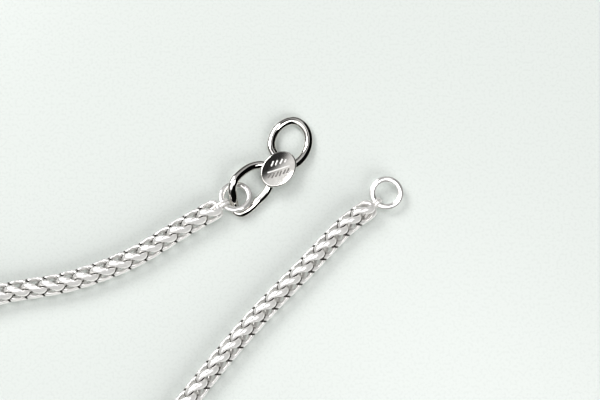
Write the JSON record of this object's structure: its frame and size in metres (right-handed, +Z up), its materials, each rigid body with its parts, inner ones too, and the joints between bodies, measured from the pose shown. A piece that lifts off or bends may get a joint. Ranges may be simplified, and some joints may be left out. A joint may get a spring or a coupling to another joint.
{
  "type": "bracelet",
  "caption": "Woven silver foxtail chain bracelet, unfastened and lying open, with end rings and an S-hook clasp that carries an oval tag.",
  "frame": {"origin": "on the surface that the bracelet lies on, under the middle of its outline", "axes": "+Z up from the surface, +X to the right and +Y away from a viewer who stands at the bow of the chain with the clasp on the far side"},
  "size_m": [0.0762, 0.0632, 0.003],
  "materials": {
    "chain_silver": "sterling silver, woven round wire, tumbled bright, darker in the gaps between links",
    "ring_silver": "sterling silver, round wire, polished",
    "clasp_silver": "sterling silver, mirror polished wire and tag, with fine wear scratches"
  },
  "bodies": {
    "root": {"chain": "chain_silver", "end_ring_left": "ring_silver", "end_ring_right": "ring_silver", "s_hook": "clasp_silver"}
  },
  "joints": []
}
